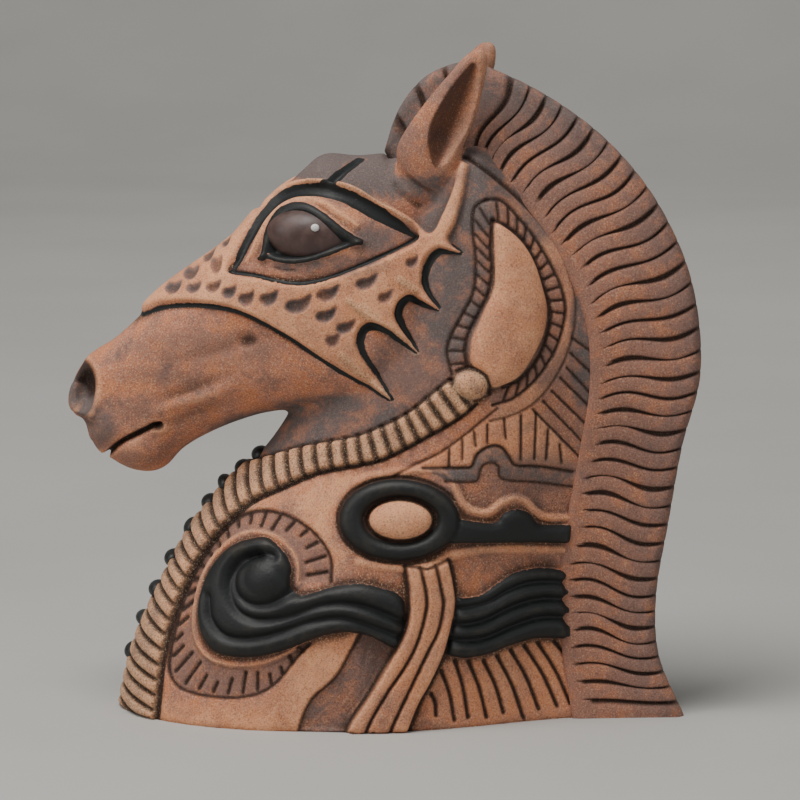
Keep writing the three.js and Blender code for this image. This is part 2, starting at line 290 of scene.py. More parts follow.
class Relief:
    """Heights and colours of one flank, on a grid seen from the side."""

    def __init__(self):
        self.x, self.z = np.meshgrid(np.arange(*MAP_X, CELL), np.arange(*MAP_Z, CELL))
        for layer in ("height", *COLOURS):
            setattr(self, layer, np.zeros_like(self.x))

    def window(self, line, margin):
        """The cells round a line, as slices of the map's rows and columns."""
        low = line.min(0) - margin
        high = line.max(0) + margin
        i0, j0 = (max(int((v - o) / CELL), 0) for v, o in zip(low, (MAP_X[0], MAP_Z[0])))
        i1, j1 = (int((v - o) / CELL) + 2 for v, o in zip(high, (MAP_X[0], MAP_Z[0])))
        return slice(j0, max(j1, j0 + 1)), slice(i0, max(i1, i0 + 1))

    def distance(self, line, w, widths=None):
        """How far each cell of the window lies from the line, in the line's widths if it has any."""
        x, z = self.x[w], self.z[w]
        best = np.full(x.shape, 1e9)
        widths = np.ones(len(line) - 1) if widths is None else widths
        for (ax, az), (bx, bz), width in zip(line[:-1], line[1:], widths):
            dx, dz = bx - ax, bz - az
            t = np.clip(((x - ax) * dx + (z - az) * dz) / max(dx * dx + dz * dz, 1e-9), 0, 1)
            best = np.minimum(best, ((x - ax - t * dx) ** 2 + (z - az - t * dz) ** 2) / width**2)
        return np.sqrt(best)

    def depth_in(self, outline, w):
        """How deep each cell lies inside the outline; outside it is negative."""
        x, z = self.x[w], self.z[w]
        inside = np.zeros(x.shape, bool)
        ring = np.vstack([outline, outline[:1]])
        for (ax, az), (bx, bz) in zip(ring[:-1], ring[1:]):
            if az == bz:
                continue
            inside ^= ((az > z) != (bz > z)) & (x < (bx - ax) * (z - az) / (bz - az) + ax)
        return np.where(inside, 1, -1) * self.distance(ring, w)

    def tint(self, w, cover, colours):
        """Lays each colour on by its share; a negative share takes it away."""
        for layer, share in colours.items():
            field = getattr(self, layer)
            if share < 0:
                field[w] = field[w] * (1 + share * cover)
            else:
                field[w] = np.maximum(field[w], share * cover)

    def area(self, outline, height=0, edge=2.0, shape=ease, soft=0.8, hole=None, **colours):
        """A raised or sunk area, with the share of each colour that it carries."""
        w = self.window(outline, 4)
        deep = self.depth_in(outline, w)
        if hole is not None:
            deep = np.minimum(deep, -self.depth_in(hole, w))
        cover = ease((deep + soft) / (2 * soft))
        rise = height * shape(deep / edge)
        if height > 0:
            covered = np.maximum(self.height[w] * (1 - cover), rise)
            self.height[w] = np.where(deep > 0, covered, self.height[w])
        else:
            self.height[w] += rise
        self.tint(w, cover, colours)

    def groove(self, line, half=1.2, depth=1.6, dark=1.0):
        """A carved line with dark wash in it."""
        line = np.asarray(line, float)
        w = self.window(line, half * 3 + 1)
        far = self.distance(line, w)
        cut = ease(1.35 - far / half)
        self.height[w] -= depth * cut
        self.tint(w, ease(1.45 - far / half), {"line": dark})

    def ridge(self, path, half=1.5, height=1.2, taper=0.0, **colours):
        """A raised or painted line; taper thins both of its ends."""
        path = np.asarray(path, float)
        w = self.window(path, half * 3 + 1)
        shares = (np.arange(len(path) - 1) + 0.5) / (len(path) - 1)
        far = self.distance(path, w, 1 - taper * np.abs(2 * shares - 1) ** 3)
        self.height[w] += height * ease(1.4 - far / half)
        self.tint(w, ease(1.5 - far / half), colours)

    def swell(self, x, z, rx, rz, height, tilt=0.0, **colours):
        """A soft bump or hollow."""
        c, s = math.cos(tilt), math.sin(tilt)
        reach = max(rx, rz) * 1.1
        w = self.window(np.array([[x - reach, z - reach], [x + reach, z + reach]]), 0)
        u = ((self.x[w] - x) * c + (self.z[w] - z) * s) / rx
        v = (-(self.x[w] - x) * s + (self.z[w] - z) * c) / rz
        near = np.clip(1 - u * u - v * v, 0, 1)
        self.height[w] += height * near**1.5
        self.tint(w, ease(near * 1.6), colours)

    def dome_on(self, x, z, rx, rz, height, **colours):
        """A pillow with a clear edge."""
        w = self.window(np.array([[x - rx, z - rz], [x + rx, z + rz]]), 2)
        r = np.sqrt(((self.x[w] - x) / rx) ** 2 + ((self.z[w] - z) / rz) ** 2)
        rise = height * np.sqrt(np.clip(1 - r * r, 0, 1))
        self.height[w] = np.where(r < 1, np.maximum(self.height[w], rise), self.height[w])
        self.tint(w, ease((1.05 - r) * 12), colours)

    def sample(self, layer, x, z):
        """The layer's value at each place, between cells."""
        field = getattr(self, layer)
        u = np.clip((x - MAP_X[0]) / CELL, 0, field.shape[1] - 1.001)
        v = np.clip((z - MAP_Z[0]) / CELL, 0, field.shape[0] - 1.001)
        i, j = u.astype(int), v.astype(int)
        fu, fv = u - i, v - j
        top = field[j + 1, i] * (1 - fu) + field[j + 1, i + 1] * fu
        low = field[j, i] * (1 - fu) + field[j, i + 1] * fu
        return low * (1 - fv) + top * fv


def blurred(field, cells):
    """The field averaged over a square, twice."""
    across = 2 * cells + 1
    for axis in (0, 1, 0, 1):
        margins = [(0, 0), (0, 0)]
        margins[axis] = (cells + 1, cells)
        total = np.cumsum(np.pad(field, margins, "edge"), axis)
        upper = np.take(total, range(across, total.shape[axis]), axis)
        lower = np.take(total, range(total.shape[axis] - across), axis)
        field = (upper - lower) / across
    return field


def cornered(points, corners, steps=5):
    """A smooth closed outline that keeps the named corners sharp."""
    cuts = list(corners) + [corners[0] + len(points)]
    loop = list(points) + list(points)
    runs = [smooth(loop[a : b + 1], steps)[:-1] for a, b in zip(cuts[:-1], cuts[1:])]
    return np.vstack(runs)


# ---- Collar -----------------------------------------------------------------------------------

COLLAR_OUTER = [
    (46, 217), (34, 207), (20, 196), (3, 187), (-12, 181), (-44, 173), (-72, 162), (-98, 148),
    (-124, 126), (-147, 92), (-164, 56), (-180, 0), (-183, -10),
]
COLLAR_INNER = [
    (62, 202), (51, 193), (34, 183), (8, 169), (-9, 164), (-34, 158), (-58, 147), (-80, 135),
    (-103, 112), (-120, 82), (-131, 46), (-136, 2), (-137, -10),
]
COLLAR_RIBS = 34
# x, z, half length, half height, rise
COLLAR_KNOB = (59, 214, 11, 9.5, 7.5)
KNOB_EDGE = [(50, 222), (58, 224), (68, 219), (70, 208)]
UNDER_COLLAR = [(75, 199), (58, 185), (40, 172), (25, 165), (13, 158)]


def collar(flank):
    outer, inner = smooth(COLLAR_OUTER), smooth(COLLAR_INNER)
    band = np.vstack([outer, inner[::-1]])
    flank.area(band, height=4.2, edge=3, shape=dome, tan=1.0, wash=-1, peach=-1)
    shares = (np.arange(COLLAR_RIBS) + 0.4) / COLLAR_RIBS
    fine_outer = along(outer, np.linspace(0, 1, 700))
    for share, b in zip(shares, along(inner, shares)):
        opposite = np.argmin(np.linalg.norm(fine_outer - b, axis=1))
        lean = 3 + 9 * ease((share - 0.25) / 0.3)
        a = fine_outer[max(opposite - int(lean), 0)]
        bulge = np.array([-0.9, -1.2]) * ease((share - 0.2) / 0.3)
        line = smooth([a + (b - a) * 0.07, (a + b) / 2 + bulge, b - (b - a) * 0.07], 4)
        flank.groove(line, half=2.1 - 0.5 * share, depth=2.6, dark=0.95)
    flank.groove(outer, half=1.0, depth=1.4)
    flank.groove(inner, half=1.2, depth=1.7)
    flank.dome_on(*COLLAR_KNOB, tan=1, line=-0.9)
    flank.groove(along(smooth(KNOB_EDGE), np.linspace(0, 1, 12)), half=1.2, depth=1.6)
    flank.groove(smooth(UNDER_COLLAR), half=1.0, depth=1.2, dark=0.8)


# ---- Leaf and ladder behind the cheek ---------------------------------------------------------

LEAF = [
    (73, 312), (88, 300), (98, 284), (103, 265), (103, 250), (99, 237), (89, 220), (78, 213),
    (67, 213), (59, 226), (59, 241), (66, 259), (72, 274), (72, 294),
]
LADDER_LEFT_IN = [
    (71, 314), (70, 297), (71, 284), (69, 270), (63, 257), (57, 245), (55, 234), (57, 222),
]
LADDER_LEFT_OUT = [
    (67, 326), (60, 321), (59, 308), (61, 290), (60, 271), (53, 256), (47, 245), (44, 234), (47, 220),
]
LADDER_RIGHT_IN = [
    (71, 314), (80, 309), (89, 301), (96, 288), (101, 273), (106, 257), (104, 242), (99, 229),
    (89, 217), (78, 212),
]
LADDER_RIGHT_OUT = [
    (67, 326), (76, 325), (86, 315), (96, 302), (105, 287), (112, 272), (115, 257), (112, 241),
    (107, 229), (98, 216), (85, 205), (72, 201),
]
LADDER_TICKS = ((LADDER_LEFT_IN, LADDER_LEFT_OUT, 13), (LADDER_RIGHT_IN, LADDER_RIGHT_OUT, 19))
PLAIN_STRIP_EDGE = [
    (97, 318), (110, 296), (119, 271), (121, 257), (119, 240), (112, 221), (100, 204), (86, 195),
    (70, 191),
]


def leaf_and_ladder(flank):
    band = np.vstack([smooth(LADDER_LEFT_OUT)[::-1], smooth(LADDER_RIGHT_OUT)])
    flank.area(band, wash=0.55)
    strip = np.vstack([smooth(LADDER_RIGHT_OUT)[6:], smooth(PLAIN_STRIP_EDGE)[::-1]])
    flank.area(strip, peach=0.45, wash=0.25)
    flank.area(smooth(LEAF, closed=True), height=6.0, edge=13, shape=dome, peach=0.85, wash=-0.9)
    for inner, outer, count in LADDER_TICKS:
        inner, outer = smooth(inner), smooth(outer)
        flank.groove(inner, half=1.2, depth=1.7)
        flank.groove(outer, half=1.1, depth=1.5)
        shares = (np.arange(count) + 0.7) / (count + 0.4)
        for a, b in zip(along(inner, shares), along(outer, shares)):
            flank.groove([a + (b - a) * 0.16, a + (b - a) * 0.86], half=0.95, depth=1.3)
    flank.groove(smooth(PLAIN_STRIP_EDGE), half=0.8, depth=0.9, dark=0.8)


# ---- Hatching -----------------------------------------------------------------------------------

HATCH_LOW = [
    ((36, 23), (39, 9)), ((42, 37), (50, 5)), ((50, 43), (58, 6)), ((58, 42), (69, 5)),
    ((67, 41), (79, 7)), ((75, 43), (91, 2)), ((83, 46), (100, 7)), ((91, 48), (111, 8)),
    ((99, 49), (119, 9)), ((109, 49), (126, 19)),
]
HATCH_MIDDLE = [
    ((46, 174), (46, 164)), ((54, 180), (54, 168)), ((61, 185), (62, 176)), ((69, 189), (69, 178)),
    ((79, 192), (80, 180)), ((89, 194), (89, 166)), ((98, 195), (97, 166)), ((105, 184), (104, 165)),
    ((112, 174), (113, 162)),
]
HATCH_SLANT = [
    ((119, 240), (133, 229)), ((118, 231), (132, 216)), ((116, 222), (131, 204)),
    ((112, 216), (130, 196)), ((107, 208), (130, 183)), ((102, 202), (127, 173)),
    ((96, 197), (124, 165)),
]


LOW_GROUND = np.array([(30, 30), (46, 46), (70, 44), (119, 50), (128, 14), (124, 0), (40, 0)])
MIDDLE_GROUND = np.array([(30, 166), (70, 192), (100, 198), (118, 168), (118, 160), (40, 163)])
SLANT_GROUND = np.array([(95, 198), (121, 255), (134, 240), (134, 190), (124, 160)])


def hatching(flank, fine):
    """The tinted grounds, and on the fine flank the lines cut in them."""
    flank.swell(88, 26, 38, 30, 0, peach=0.6)
    flank.area(LOW_GROUND, peach=0.5)
    flank.area(MIDDLE_GROUND, peach=0.6)
    flank.area(SLANT_GROUND, wash=0.45)
    if not fine:
        return
    for (ax, az), (bx, bz) in HATCH_LOW:
        bend = ((ax + bx) / 2 + 0.9, (az + bz) / 2 + 1.5)
        flank.groove(smooth([(ax, az), bend, (bx, bz)], 4), half=1.25, depth=1.9)
    for lines, depth in ((HATCH_MIDDLE, 1.3), (HATCH_SLANT, 1.2)):
        for line in lines:
            flank.groove(line, half=0.9, depth=depth)


# ---- Ring, bar and the bands beside it -------------------------------------------------------

# x, z, half length, half height
RING = (16, 131.5, 36.5, 24.5)
RING_EDGE = (16, 131.5, 37.5, 25.5)
RING_HOLE = (17, 131.5, 22.5, 14)
RING_HOLE_EDGE = (17, 131.5, 21, 13.2)
CABOCHON = (17, 131.5, 19.5, 12.3)
CABOCHON_RISE = 7.5
BAR = [
    (46, 117), (76, 115), (119, 110.5), (119, 123), (106, 123.5), (98, 125.5), (94, 131.5), (86, 135.5),
    (78, 133), (72, 128), (46, 131.5),
]
BAR_CORNERS = (0, 2, 3)
PALE_RIM = [
    (-12, 153), (0, 158), (13, 160), (28, 162), (41, 161), (48, 155), (53, 144), (57, 139), (63, 135.5),
    (70, 135), (77, 140), (84, 142.5), (91, 140.5), (97, 133.5), (104, 128.5), (119, 127),
]
RIM_OVER_BAR = 24
LOWER_RIM = [(-8, 106), (8, 103), (30, 103), (52, 110), (76, 111), (119, 106)]
ARCH_TOP = [
    (30, 163), (54, 163), (60, 164), (63, 171), (70, 175.5), (77, 175), (82, 169), (86, 163),
    (100, 161), (120, 156),
]
ARCH_LOW = [
    (44, 155), (60, 154), (64, 156), (66, 163), (71, 165.5), (76, 163), (78, 155), (98, 151),
    (121, 146),
]


def oval(x, z, rx, rz, steps=64):
    turn = np.linspace(0, 2 * math.pi, steps, endpoint=False)
    return np.stack([x + rx * np.cos(turn), z + rz * np.sin(turn)], 1)


def ring_and_bar(flank):
    speckled = np.vstack([smooth(PALE_RIM)[RIM_OVER_BAR:], smooth(ARCH_LOW)[::-1]])
    flank.area(speckled, height=-1.4, edge=2, wash=0.15, rough=0.85)
    arch = np.vstack([smooth(ARCH_TOP), smooth(ARCH_LOW)[::-1]])
    flank.area(arch, height=-0.6, edge=1.5, wash=1.0)
    flank.groove(smooth(ARCH_TOP), half=1.1, depth=1.6)
    flank.groove(smooth(ARCH_LOW), half=1.0, depth=1.4)
    flank.ridge(smooth(PALE_RIM), half=2.2, height=1.3, peach=0.8)
    flank.ridge(smooth(LOWER_RIM), half=2.4, height=1.2, peach=0.7)
    black = dict(shape=dome, slip=1, peach=-1, wash=-1)
    flank.area(cornered(BAR, BAR_CORNERS, 4), height=4.2, edge=5, **black)
    flank.area(oval(*RING), height=5.4, edge=6.5, hole=oval(*RING_HOLE), **black)
    flank.groove(oval(*RING_EDGE)[5:61], half=1.1, depth=1.2, dark=0.8)
    flank.dome_on(*CABOCHON, CABOCHON_RISE, peach=0.9)
    hollow = oval(*RING_HOLE_EDGE)
    flank.groove(np.vstack([hollow, hollow[:1]]), half=1.3, depth=1.6)


# ---- Scroll, its fan, the strap and the waves ---------------------------------------------------

SCROLL = [
    (-63, 117), (-77, 116), (-91, 109), (-103, 94), (-109, 74), (-107, 58), (-99, 48), (-85, 45),
    (-66, 47), (-48, 53), (-34, 59), (-18, 63), (-2, 61), (16, 53), (20, 70), (18, 85), (4, 91),
    (-9, 93), (-26, 90), (-42, 85), (-50, 90), (-50, 104),
]
# x, z, half length, half height, rise
SCROLL_EYE = (-66, 93, 14.5, 13, 9.5)
SCROLL_GROOVES = [
    [
        (-70, 107), (-80, 104), (-87, 95), (-88, 84), (-81, 73), (-68, 69), (-50, 72), (-32, 79),
        (-16, 81), (0, 78), (18, 70),
    ],
    [(-101, 80), (-99, 67), (-90, 58), (-75, 57), (-56, 62), (-38, 69), (-19, 72), (-2, 68), (18, 60)],
    [(-70, 107), (-63, 108), (-60, 107)],
    [(-75, 105), (-84, 96), (-83, 84), (-74, 78), (-62, 79), (-50, 86)],
]
FAN_OUTER = [
    (-25, 94), (-25, 106), (-30, 116), (-38, 124), (-49, 130), (-60, 133), (-72, 133), (-84, 129),
    (-95, 121), (-105, 108), (-114, 93), (-121, 76), (-126, 58), (-129, 42), (-129, 31), (-123, 23),
    (-112, 20), (-98, 19), (-82, 20), (-68, 24), (-57, 32), (-47, 45), (-38, 55),
]
FAN_INNER = [
    (-45, 92), (-46, 106), (-54, 116), (-66, 121), (-80, 120), (-92, 113), (-103, 101), (-110, 86),
    (-113, 70), (-112, 55), (-104, 44), (-92, 40), (-78, 40), (-64, 43), (-50, 50), (-42, 56),
]
FAN_TICKS = 30
STRAP_LEFT = [(20, 104), (22, 89), (22, 76), (20, 65), (14, 52), (6, 38), (-2, 24), (-13, 7), (-19, -6)]
STRAP_SECOND = [(29, 103), (32, 88), (32, 76), (27, 57), (20, 42), (9, 25), (-1, 7), (-6, -6)]
STRAP_THIRD = [(38, 104), (41, 88), (42, 79), (39, 63), (32, 48), (22, 26), (12, 4), (8, -6)]
STRAP_RIGHT = [(46, 107), (49, 92), (50, 78), (47, 62), (43, 47), (35, 29), (28, 16), (20, -6)]
STRAP_TOP = [(20, 104), (33, 102), (46, 107)]
WAVES = [
    (48, 84), (56, 82), (65, 83), (74, 89), (85, 95), (97, 97), (109, 95), (117, 92), (118, 72),
    (119, 50), (108, 51), (97, 52), (82, 49), (68, 45), (56, 44), (45, 47),
]
WAVES_CORNERS = (0, 7, 9, 15)
WAVE_GROOVES = [
    [(48, 76), (60, 76.5), (70, 79), (80, 84.5), (92, 88), (106, 87.5), (119, 85)],
    [(47, 66), (58, 66), (68, 68), (82, 74), (96, 77), (108, 76.5), (119, 74)],
    [(46, 56.5), (58, 55.5), (68, 56.5), (82, 61.5), (96, 65), (108, 65), (119, 62.5)],
]
SHADED_BAND_FRONT = [(-6, 63), (-13, 50), (-22, 34), (-37, 20), (-44, 3), (-46, -8)]
SHADED_BAND = SHADED_BAND_FRONT + [(-16, -8), (-13, 8), (-2, 26), (8, 42), (16, 55)]
PALE_PANEL = [
    (-46, 55), (-28, 62), (-8, 62), (-14, 48), (-24, 32), (-38, 18), (-46, -8), (-131, -8), (-131, 14),
    (-98, 15), (-72, 19), (-56, 30),
]
BREAST_PANEL = [
    (-20, 97), (-16, 108), (-26, 124), (-24, 140), (-10, 152), (-2, 160), (-30, 156), (-56, 146),
    (-78, 134), (-92, 124), (-60, 137), (-40, 127), (-27, 114), (-22, 100),
]


def between_strands(flank, line):
    """The valley between two strands: wide and round, with a narrow cut at its foot."""
    flank.groove(smooth(line), half=4.0, depth=2.4, dark=0)
    flank.groove(smooth(line), half=1.4, depth=2.0, dark=0)


def fan_ticks(flank):
    shares = (np.arange(FAN_TICKS) + 0.6) / (FAN_TICKS + 0.2)
    outer, inner = (along(smooth(line), shares) for line in (FAN_OUTER, FAN_INNER))
    for share, a, b in zip(shares, outer, inner):
        reach = 0.62 + 0.18 * math.sin(40 * share)
        flank.groove([a + (b - a) * 0.14, a + (b - a) * reach], half=1.15, depth=1.6)


def scroll_and_bands(flank, fine):
    flank.area(smooth(BREAST_PANEL, 4, closed=True), peach=0.8, soft=3)
    flank.area(smooth(PALE_PANEL, 3, closed=True), peach=0.9, soft=2)
    fan = np.vstack([smooth(FAN_OUTER), smooth(FAN_INNER)[::-1]])
    flank.area(fan, height=-1.3, edge=2, wash=0.65, peach=-0.8)
    flank.groove(smooth(FAN_OUTER), half=1.2, depth=1.7)
    flank.ridge(smooth(FAN_INNER), half=1.1, height=0.8, peach=0.9)
    band = smooth(SHADED_BAND, 3, closed=True)
    flank.area(band, height=-2.2, edge=2.5, wash=0.85, rough=1, peach=-0.9)
    if fine:
        fan_ticks(flank)
    scroll = smooth(SCROLL, closed=True)
    flank.area(scroll, height=6.5, edge=9, shape=dome, slip=1, peach=-1, wash=-1, line=-0.8)
    for line in SCROLL_GROOVES:
        between_strands(flank, line)
    flank.dome_on(*SCROLL_EYE, slip=1, line=-1)
    waves = cornered(WAVES, WAVES_CORNERS)
    flank.area(waves, height=6, edge=8, shape=dome, slip=1, wash=-1)
    for line in WAVE_GROOVES:
        between_strands(flank, line)
    strap = np.vstack([smooth(STRAP_LEFT), smooth(STRAP_RIGHT)[::-1]])
    flank.area(strap, height=4.8, edge=3.5, shape=dome, peach=0.55, slip=-1, wash=-0.8, line=-0.7)
    for line in (STRAP_SECOND, STRAP_THIRD):
        flank.groove(smooth(line), half=1.2, depth=1.9)
    for line in (STRAP_LEFT, STRAP_RIGHT):
        flank.groove(smooth(line), half=1.3, depth=1.2)
    flank.groove(STRAP_TOP, half=1.0, depth=1.2)
    flank.groove(smooth(SHADED_BAND_FRONT, 3), half=1.2, depth=1.4)


# ---- Mask, eye and muzzle -----------------------------------------------------------------------

MASK = [
    (-168, 243), (-149, 250), (-133, 257), (-109, 260), (-83, 257), (-55, 244), (-34, 231), (-10, 216),
    (11, 203), (-2, 222), (-9, 233), (-11, 241), (-8, 249), (-1, 252), (8, 248), (15, 242), (28, 231),
    (16, 247), (12, 256), (14, 264), (20, 268), (27, 265), (40, 258),
    (31, 269), (28, 278), (31, 289), (38, 296), (46, 295), (54, 293),
    (44.5, 301), (49.5, 314), (53, 328), (55.5, 346), (49.5, 349), (47.5, 334), (42, 319), (33, 305),
    (16, 316), (2, 323), (-14, 332.5), (-32, 336.5), (-48, 335), (-61, 329), (-70, 321), (-77, 313),
    (-90, 325), (-120, 310), (-150, 280), (-172, 250),
]
MASK_CORNERS = (0, 8, 16, 22, 28, 32, 33, 35, 43)
EYE_OPENING = [
    (-90.5, 279), (-86, 288), (-82, 297), (-75, 309), (-67, 318), (-59, 326), (-47, 332),
    (-33, 333.5), (-16, 329.5), (1, 321), (14, 312), (25.5, 302), (8, 292), (-8, 286), (-25, 279.5),
    (-46, 275), (-68, 277),
]
BROW_UNDER = [
    (-87, 281), (-83, 287), (-79, 295), (-73, 304), (-67.5, 311), (-60, 319), (-51, 324.5),
    (-42, 326.5), (-32, 326.5), (-21, 324), (-12, 319.5), (-2, 314), (10, 308), (21, 302.5),
]
BROW_OVER = [
    (-90.5, 279), (-86.5, 288), (-82.5, 297), (-75.5, 309), (-67.5, 318.5), (-59.5, 326.5),
    (-47, 332.5), (-33, 334), (-16, 330), (1, 321.5), (14, 312.5), (25.5, 302),
]
BROW_BACK = slice(38, -4)
BROW_EDGE_SHIFT = (1, 1.8)
UPPER_LID = [
    (-69, 289), (-67, 295), (-65.5, 302), (-61.5, 310), (-56, 316), (-49, 319.2), (-41, 319.2),
    (-32.5, 315.3), (-23.5, 308.8), (-14.5, 302.6), (-9, 300.3),
]
LOWER_LID = [
    (-72, 288.5), (-66, 290), (-59, 288.7), (-51.5, 288), (-40, 289.5), (-27, 294), (-17, 298),
    (-9, 300.3),
]
TEAR_FOLD = [(-62, 284.5), (-56, 283), (-49, 283)]
LID_FOLD = [
    (-80, 286), (-76, 293), (-71.5, 302), (-66, 311.5), (-58.5, 319.5), (-50, 324), (-41, 325),
    (-31, 323), (-21, 317), (-11, 310),
]
EYE_HOLE = [
    (-64, 291), (-64, 299), (-60.5, 308), (-54, 314.5), (-46, 317), (-38, 315.5), (-29, 309.5),
    (-21, 303.5), (-15, 300), (-27, 295.5), (-40, 291), (-52, 289.5),
]
ALMOND_LOW = [
    (-90, 279.5), (-76, 279), (-61.5, 276.2), (-46.5, 275), (-33.5, 277), (-17, 283), (2, 291),
    (16, 297.5), (25.3, 302.3),
]
SCALLOPS = [
    [(11, 204), (0, 219), (-8, 232), (-10, 241), (-7, 249), (0, 251), (8, 248), (16, 241), (26, 232.5)],
    [(26, 234), (17, 246), (13, 256), (15, 264), (21, 268), (28, 264), (38.5, 259)],
    [(39, 260.5), (31, 269), (28, 279), (32, 290), (38, 296), (46, 296), (53, 293.5)],
]
MASK_LOW = [
    (-149, 250), (-133, 257), (-109, 260), (-83, 257), (-55, 244), (-34, 231), (-10, 216), (9, 204),
]
CLAWS = [[(-15, 265), (6, 248)], [(14, 277), (24, 270)], [(-20, 232), (9, 205)], [(-8, 262), (25, 233)]]
# x, z, half length, half height, strength
PITS = [
    (-126, 266, 6, 3.3, 1), (-112, 268, 5.2, 3, 0.9), (-99, 270, 5.2, 3.2, 1),
    (-89, 268, 5.2, 3.7, 1), (-78, 265, 5.6, 4.6, 1), (-64, 266, 6.4, 4.6, 1),
    (-46, 263, 8.8, 5.2, 1), (-28, 270, 7.4, 4.6, 1), (-29, 257, 7, 4.4, 1), (-17, 250, 6.5, 4.1, 1),
    (-5, 277, 7, 4.2, 0.9), (6, 268, 4.6, 3.8, 0.9), (-25, 242, 5, 4.6, 0.7),
    (21, 288, 4.6, 3.6, 0.8), (-115, 275, 5.7, 3.3, 1), (-105, 285, 4.6, 3.2, 0.9),
    (-98, 282, 4.3, 4.6, 1), (-94, 294, 3.8, 3, 0.9),
]
# a pit's outline: a drop of half length and half height 1, then turned a little
DROP = [(-1, -0.2), (-0.55, -0.95), (0.2, -0.95), (0.8, -0.3), (1.1, 0.75), (0.3, 0.45), (-0.6, 0.5)]
DROP_STRETCH = 1.1
DROP_TURN = [[0.97, 0.24], [-0.24, 0.97]]
FOREHEAD_FOLD = np.array([(-36, 332), (-27, 341), (-15, 348.5), (-9, 348), (-19, 340), (-26, 332)])
# line, half width, share of dark wash
EAR_FOLDS = [([(10, 334), (15, 328), (25, 321)], 2.5, 0.2), ([(14, 345), (22, 336), (32, 330)], 2.0, 0.3)]
MOUTH = [(-176, 158), (-169, 164), (-161, 171), (-152, 176), (-142, 181), (-136, 183)]
# x, z, half length, half height of the nostril's lip, shade, dark and lobe
NOSTRIL_LIP = (-185.5, 203, 11, 17.5)
NOSTRIL_SHADE = (-186.5, 202.5, 10, 16)
NOSTRIL_DARK = (-183.5, 208.5, 8.5, 11.5)
NOSTRIL_LOBE = (-191, 197, 7.5, 9.5)
# soft bumps and hollows: x, z, half length, half height, rise, tilt, colours
CHEEK_AND_JAW = [
    (-60, 215, 75, 26, 2.2, 0.35, {}),
    (-5, 225, 42, 40, 2.5, 0, {}),
    (-113, 200, 36, 5, 1.6, 0.35, {}),
    (-113, 208, 34, 5, -1.3, 0.38, {"wash": 0.3}),
    (-113, 190, 42, 6, -1.3, 0.4, {"wash": 0.35}),
    (-95, 232, 36, 6, -1.1, 0.3, {"wash": 0.25}),
    (-79, 239, 9, 7, -2.2, 0, {"wash": 0.55}),
    (-150, 163, 18, 13, 2.2, 0, {}),
    (-136, 181, 7, 5, 1.8, 0, {"peach": 0.5}),
    (-172, 180, 16, 13, 1.6, 0, {}),
]
AROUND_EYE = [
    (-40, 303, 42, 27, 3.2, 0, {"peach": 0.4}),
    (-75, 289, 14, 9, 0, 0, {"wash": 0.45}),
    (-30, 286, 44, 8, 0, 0, {"wash": 0.95, "peach": -0.7}),
    (4, 304, 22, 13, 0, 0, {"wash": 0.95, "peach": -0.7}),
]
MUZZLE = [
    (-187, 181, 15, 10, -3.4, 0, {"wash": 0.6}),
    (-177, 163, 10, 8, 1.4, 0, {}),
    (-155, 160, 18, 9, 0, 0, {"wash": 0.55}),
    (-152, 192, 16, 7, 0, 0, {"wash": 0.5}),
]
MOUTH_CORNER = (-138, 182, 5.5, 3.5, -2.5)
MASK_BACK = (52, 334, 9, 24, 0)


def swells(flank, table):
    for *shape, colours in table:
        flank.swell(*shape, **colours)


def mask(flank):
    for line in SCALLOPS:
        flank.ridge(smooth(line), half=4.0, height=-1.4, taper=0.8, slip=1)
    flank.ridge(smooth(MASK_LOW), half=2.6, height=-1.1, taper=0.5, slip=1)
    opening = smooth(EYE_OPENING, closed=True)
    flank.area(
        cornered(MASK, MASK_CORNERS), height=4.2, edge=2.2, shape=dome, soft=0.6, hole=opening,
        peach=0.9, slip=-1, wash=-0.85,
    )
    flank.swell(*MASK_BACK, wash=0.6)
    for line in CLAWS:
        flank.ridge(line, half=2.2, height=1.1, tan=0.7)


def brow_and_eye(flank):
    brow = np.vstack([smooth(BROW_OVER), smooth(BROW_UNDER)[::-1]])
    flank.area(brow, height=-1.4, edge=2, slip=1, wash=-1, peach=-1)
    flank.ridge(smooth(BROW_OVER)[BROW_BACK] + BROW_EDGE_SHIFT, half=1.2, height=0.8, tan=0.8)
    flank.ridge(smooth(ALMOND_LOW), half=1.1, height=-1.3, slip=1)
    swells(flank, AROUND_EYE)
    flank.area(smooth(EYE_HOLE, closed=True), height=-3.4, edge=3, soft=1.5, slip=1)
    flank.ridge(smooth(LID_FOLD), half=1.9, height=1.7, taper=0.4, peach=0.9, wash=-0.6)
    flank.ridge(smooth(UPPER_LID), half=2.9, height=2.8, taper=0.35, slip=1, line=-1)
    flank.ridge(smooth(LOWER_LID), half=1.5, height=1.6, taper=0.3, slip=1, line=-1)
    flank.groove(smooth(TEAR_FOLD), half=0.7, depth=0.8, dark=0.7)
    flank.area(FOREHEAD_FOLD, height=-2.4, edge=3, slip=1, wash=-1)


def nose_and_mouth(flank):
    swells(flank, MUZZLE)
    lip = oval(*NOSTRIL_LIP)
    flank.ridge(np.vstack([lip[-12:], lip[:28]]), half=2.4, height=1.3, peach=0.55)
    flank.area(oval(*NOSTRIL_SHADE), wash=1.6, peach=-1, soft=2)
    flank.area(oval(*NOSTRIL_DARK), line=1, soft=2)
    lobe = oval(*NOSTRIL_LOBE)
    flank.area(lobe, height=1.3, edge=5, shape=dome, soft=1.5, wash=1, line=-0.95)
    flank.groove(smooth(MOUTH), half=1.7, depth=5)
    flank.swell(*MOUTH_CORNER, line=0.9)


